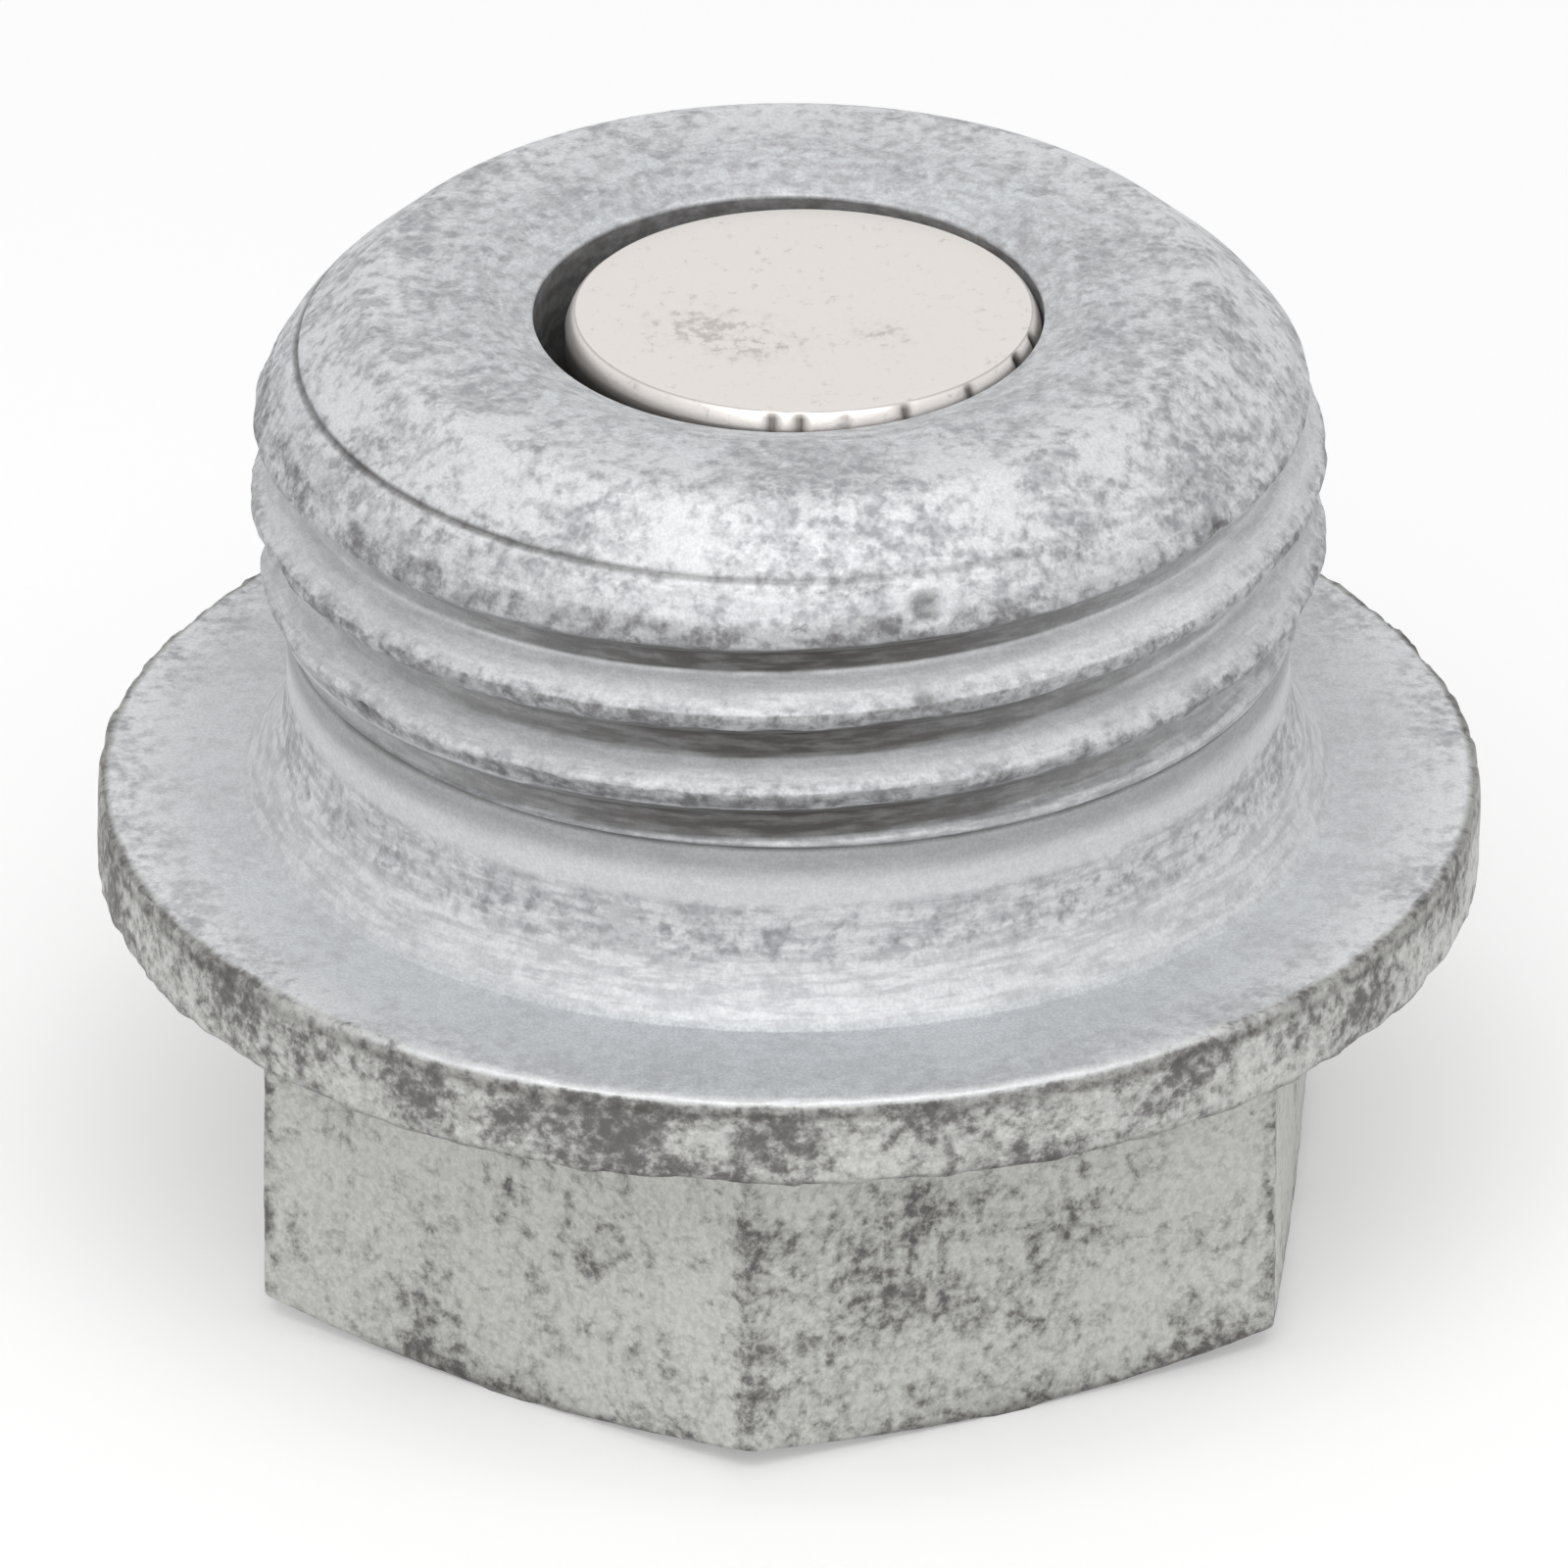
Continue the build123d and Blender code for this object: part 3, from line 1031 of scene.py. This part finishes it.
# Last layer: grease and painted shade in roots, pits, low edges and the shaded neck.
skin = zinc.layer(skin, grease_brown, zinc.times(grease_mask, 0.92))
zinc.feed(zinc.shader.inputs["Base Color"], skin)
zinc.shader.inputs["Metallic"].default_value = 0.4
zinc.feed(zinc.shader.inputs["Roughness"], zinc.plus(zinc.times(patch_mask, 0.1), 0.6))
relief = zinc.times(zinc.plus(patch_noise, grain_noise), 0.5)
zinc.bump(relief, distance=0.03, strength=0.5)
plug.data.materials.append(zinc.material)
print("worn_zinc_coat:", len(zinc.tree.nodes), "nodes")

# %% [markdown]
# ## The magnet
# The magnet is a disc of pressed and sintered powder, plated with nickel, so it is the smoothest and
# warmest surface of the plug. It lies loose in its bore and has slid to one side, which opens a dark
# crescent. A cylinder with a Bevel modifier would do for a new one, but this one has chips in its
# bevel. So the outline is given as rings: the flat face, a rounded bevel that is taller than it is
# wide, the wall, and the foot. The foot stays a little off the bore's floor, to leave room for the
# disc to lean.

# %% Magnet outline
magnet_radius = 3.98
magnet_middle = Vector((magnet_high.x - magnet_radius, magnet_low.y + magnet_radius, 0))
magnet_top = magnet_high.z
magnet_foot = magnet_low.z + 0.09
bevel = 0.16
bevel_height = 0.3
bevel_curve = ((0.8, 0.1), (0.55, 0.27), (0.25, 0.6), (0.07, 0.88))
wall_top = magnet_top - bevel_height
wall_steps = (0.0, 0.15, 0.5, 1.2, 2.4, 4.2)
edge_width = 0.02
edge_drop = 0.005
inner_ring, face_rings = 0.6, 8

face_radii = np.linspace(inner_ring, magnet_radius - bevel - edge_width, face_rings)
magnet_rings = [(ring_radius, magnet_top) for ring_radius in face_radii]
magnet_rings.append((magnet_radius - bevel, magnet_top - edge_drop))
for width_left, height_gone in bevel_curve:
    magnet_rings.append((magnet_radius - bevel * width_left, magnet_top - bevel_height * height_gone))
magnet_rings += [(magnet_radius, wall_top - step) for step in wall_steps]
magnet_rings += [(magnet_radius, magnet_foot + bevel), (magnet_radius - bevel, magnet_foot)]
print("magnet rings:", len(magnet_rings), "height:", round(magnet_top - magnet_foot, 2), "mm")

# %% [markdown]
# Each ring becomes a circle of points. Four-sided faces join ring to ring, and a fan of triangles
# closes the face and the foot.

# %% Magnet points and faces
magnet_columns = 320
magnet_turn = np.arange(magnet_columns) / magnet_columns * 2 * math.pi
magnet_points = [(magnet_middle.x, magnet_middle.y, magnet_top)]
for ring_radius, ring_height in magnet_rings:
    for turn in magnet_turn:
        x = magnet_middle.x + ring_radius * math.cos(turn)
        y = magnet_middle.y + ring_radius * math.sin(turn)
        magnet_points.append((x, y, ring_height))
magnet_points.append((magnet_middle.x, magnet_middle.y, magnet_foot))
magnet_points = np.array(magnet_points)

magnet_faces = []
last_ring = 1 + (len(magnet_rings) - 1) * magnet_columns
for column in range(magnet_columns):
    following = (column + 1) % magnet_columns
    magnet_faces.append((0, 1 + column, 1 + following))
    for ring in range(1, last_ring, magnet_columns):
        lower = ring + magnet_columns
        magnet_faces.append((ring + column, lower + column, lower + following, ring + following))
    magnet_faces.append((last_ring + following, last_ring + column, len(magnet_points) - 1))
print("magnet points:", len(magnet_points), "faces:", len(magnet_faces))

# %% [markdown]
# Iron dust has left stains on the face, and a brittle magnet soon has chips in its edge. Stains
# have a place and a size. Chips have an angle in degrees and a depth, take a bite out of the bevel,
# and hold dirt. Below the bevel the wall is painted darker, as shade down in the gap, and the fine
# line where the face ends is dirty.

# %% Stains and chips
stain_places = [(-1.6, -0.7, 0.6), (-0.9, -1.0, 0.6), (-0.3, -1.3, 0.6), (1.6, -0.9, 0.45)]
chips = [(-94, 0.05), (-86.9, 0.05), (-75.6, 0.02), (-60.3, 0.05)]
chips += [(-40.9, 0.05), (-20, 0.07), (-8, 0.06), (150, 0.04)]
chip_width, chip_dirt_width = 0.12, 0.08
dirt_per_depth = 20
edge_dirt = 0.45
wall_shade_start, wall_shade_fade = 0.05, 0.15

stained = np.zeros(len(magnet_points))
for stain_x, stain_y, stain_size in stain_places:
    stained += bell(np.hypot(magnet_points[:, 0] - stain_x, magnet_points[:, 1] - stain_y) / stain_size)

from_middle = magnet_points - np.array(magnet_middle)
point_turn = np.arctan2(from_middle[:, 1], from_middle[:, 0])
point_reach = np.hypot(from_middle[:, 0], from_middle[:, 1])
on_bevel = fade(point_reach, magnet_radius - bevel, magnet_radius - bevel / 2)
on_bevel *= magnet_points[:, 2] > wall_top - 0.2
chip_dirt = np.zeros(len(magnet_points))
for chip_degrees, chip_depth in chips:
    chip_round = turned_from(point_turn, math.radians(chip_degrees)) * magnet_radius
    chip_dirt += dirt_per_depth * chip_depth * on_bevel * bell(chip_round / chip_dirt_width)
    chip = chip_depth * on_bevel * bell(chip_round / chip_width)
    magnet_points[:, 2] -= chip
    magnet_points[:, 0] -= chip * np.cos(point_turn)
    magnet_points[:, 1] -= chip * np.sin(point_turn)

# Painted shade: the wall darkens downwards into the gap between magnet and bore.
wall_shade = np.clip((wall_top - wall_shade_start - magnet_points[:, 2]) / wall_shade_fade, 0, 1)
on_edge = np.abs(point_reach - magnet_radius + bevel) < 0.001
on_edge &= magnet_points[:, 2] > magnet_top - bevel
magnet_dirt_and_shade = np.maximum(wall_shade, chip_dirt + edge_dirt * on_edge)
print("stains:", len(stain_places), "chips:", len(chips))

# %% [markdown]
# The disc doesn't lie quite flat: its front edge stands a little proud. It is turned about a line
# across its face, so the face keeps its place in the bore.

# %% Leaning magnet
magnet_lean = math.radians(1.25)
lean_cos, lean_sin = math.cos(magnet_lean), math.sin(magnet_lean)

lean_height = magnet_points[:, 2] - magnet_top
leaning = magnet_points.copy()
leaning[:, 2] = magnet_top + lean_height * lean_cos - magnet_points[:, 1] * lean_sin
leaning[:, 1] = magnet_points[:, 1] * lean_cos + lean_height * lean_sin
magnet_disc = new_object("nickel_magnet", leaning, magnet_faces)
keep(magnet_disc, "grease", magnet_dirt_and_shade)
keep(magnet_disc, "specks", stained)
print("nickel_magnet leans", round(math.degrees(magnet_lean), 2), "degrees")

# %% [markdown]
# Nickel is warmer and shinier than zinc, so Metallic is high. A perfect mirror would only show the
# white room, and the plating is finely rough from the powder under it. Its layers are stains, specks,
# dust, and the dirt and painted shade of the bore.

# %% Nickel plating
nickel = Recipe("nickel_plating")
speck_noise = even_noise(nickel, (4.0, 3.0, 4.0), 3.0, 0.7)
dust_noise = even_noise(nickel, (14.0, 14.0, 14.0), 2.0, 0.6)
speck_level = nickel.plus(speck_noise, nickel.times(nickel.kept("specks"), 0.13))
speck_mask = nickel.mask(speck_level, 0.58, 0.78)
stain_mask = nickel.times(nickel.mask(speck_noise, 0.4, 0.6), nickel.kept("specks"))
dust_mask = nickel.mask(dust_noise, 0.62, 0.72)

bright_nickel = paint(226, 221, 217)
stain_brown = paint(190, 182, 176)
speck_grey = paint(150, 145, 141)
dust_grey = paint(190, 187, 184)
bore_dirt_and_shade = paint(92, 84, 78)

plating = nickel.layer(bright_nickel, stain_brown, nickel.times(stain_mask, 0.35))
plating = nickel.layer(plating, speck_grey, nickel.times(speck_mask, 0.42))
plating = nickel.layer(plating, dust_grey, nickel.times(dust_mask, 0.2))
# Dirt of the chips and the face's edge, and painted shade on the wall down in the gap.
plating = nickel.layer(plating, bore_dirt_and_shade, nickel.kept("grease"))
nickel.feed(nickel.shader.inputs["Base Color"], plating)
nickel.shader.inputs["Metallic"].default_value = 0.9
nickel.shader.inputs["Roughness"].default_value = 0.4
nickel.bump(dust_noise, distance=0.01, strength=0.3)
magnet_disc.data.materials.append(nickel.material)
print("nickel_plating:", len(nickel.tree.nodes), "nodes")

# %% [markdown]
# ## Tying the skin to the measured parts
# Each dressed piece stands for one measured solid and rides with it, so the plug stays one part
# wherever it is used.

# %% Ride and replace
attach(plug, "root")
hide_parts("plug_body")
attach(magnet_disc, "root")
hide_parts("magnet")

# %% [markdown]
# ## Floor and light
# A product table is white paper under soft lamps. The paper fills the shadows of the plug from all
# round. It has to look white in the picture, but a stronger lamp would bleach the metal. So its own
# pale colour does most of it, and a little glow that only the camera, mirrors and glass see does the
# rest.

# %% Floor
floor_size = 0.3
paper_glow = 0.3
corner_signs = ((-1, -1), (1, -1), (1, 1), (-1, 1))


def seen_directly(tree):
    """1 for what the camera, a mirror or glass shows, and 0 for the light that falls on the plug."""
    path = tree.nodes.new("ShaderNodeLightPath")
    seen = path.outputs["Is Camera Ray"]
    for output in ("Is Glossy Ray", "Is Transmission Ray"):
        either = tree.nodes.new("ShaderNodeMath")
        either.operation = "MAXIMUM"
        tree.links.new(seen, either.inputs[0])
        tree.links.new(path.outputs[output], either.inputs[1])
        seen = either.outputs["Value"]
    return seen


floor_mesh = bpy.data.meshes.new("paper_floor")
floor_corners = [(x * floor_size, y * floor_size, 0) for x, y in corner_signs]
floor_mesh.from_pydata(floor_corners, [], [(0, 1, 2, 3)])
floor = bpy.data.objects.new("paper_floor", floor_mesh)
bpy.context.scene.collection.objects.link(floor)
paper = Recipe("white_paper")
paper.shader.inputs["Base Color"].default_value = (0.8, 0.8, 0.8, 1)
paper.shader.inputs["Roughness"].default_value = 0.9
paper.shader.inputs["Specular IOR Level"].default_value = 0.0
paper.shader.inputs["Emission Color"].default_value = (1, 1, 1, 1)
glow = paper.times(seen_directly(paper.tree), paper_glow)
paper.feed(paper.shader.inputs["Emission Strength"], glow)
floor_mesh.materials.append(paper.material)
print("floor:", floor_size * 2, "m wide")

# %% [markdown]
# The room round the table is white to the camera, to mirrors and to glass, but lights the plug with
# half that strength only, so that the lamps can still shape it.

# %% White room
room_light = 0.5
world = bpy.data.worlds.new("white_room")
world.use_nodes = True
bpy.context.scene.world = world
room = world.node_tree
strength = room.nodes.new("ShaderNodeMapRange")
strength.inputs["To Min"].default_value = room_light
strength.inputs["To Max"].default_value = 1.0
room.links.new(seen_directly(room), strength.inputs["Value"])
room.links.new(strength.outputs["Result"], room.nodes["Background"].inputs["Strength"])
room.nodes["Background"].inputs["Color"].default_value = (1, 1, 1, 1)
print("room light:", room_light)

# %% [markdown]
# Two square lamps do the shaping, as two softboxes would. The strong one hangs high and a little in
# front, so that the crests shade the grooves below them. The weak one stands lower in front and opens
# up the hexagon. Their angles are in degrees, their distance and size in metres, and their power in
# watts.

# %% Lamps
def soft_lamp(name, azimuth, elevation, distance, size, power):
    """A square lamp that hangs in a direction from the plug and faces it."""
    lamp_data = bpy.data.lights.new(name, "AREA")
    lamp_data.energy = power
    lamp_data.size = size
    lamp = bpy.data.objects.new(name, lamp_data)
    direction = direction_to(math.radians(azimuth), math.radians(elevation))
    lamp.location = direction * distance + Vector((0, 0, flange_face * MM))
    lamp.rotation_euler = direction.to_track_quat("Z", "Y").to_euler()
    bpy.context.scene.collection.objects.link(lamp)
    print(name + ":", power, "W")


soft_lamp("overhead_softbox", azimuth=5, elevation=66, distance=0.3, size=0.25, power=0.43)
soft_lamp("front_softbox", azimuth=-10, elevation=38, distance=0.4, size=0.25, power=0.16)
bpy.context.scene.view_settings.view_transform = "Standard"

# %% [markdown]
# ## The size of the result
# The dressed plug has to keep the measured plug's size. Its points were clipped to the measured box
# when they were pushed in.
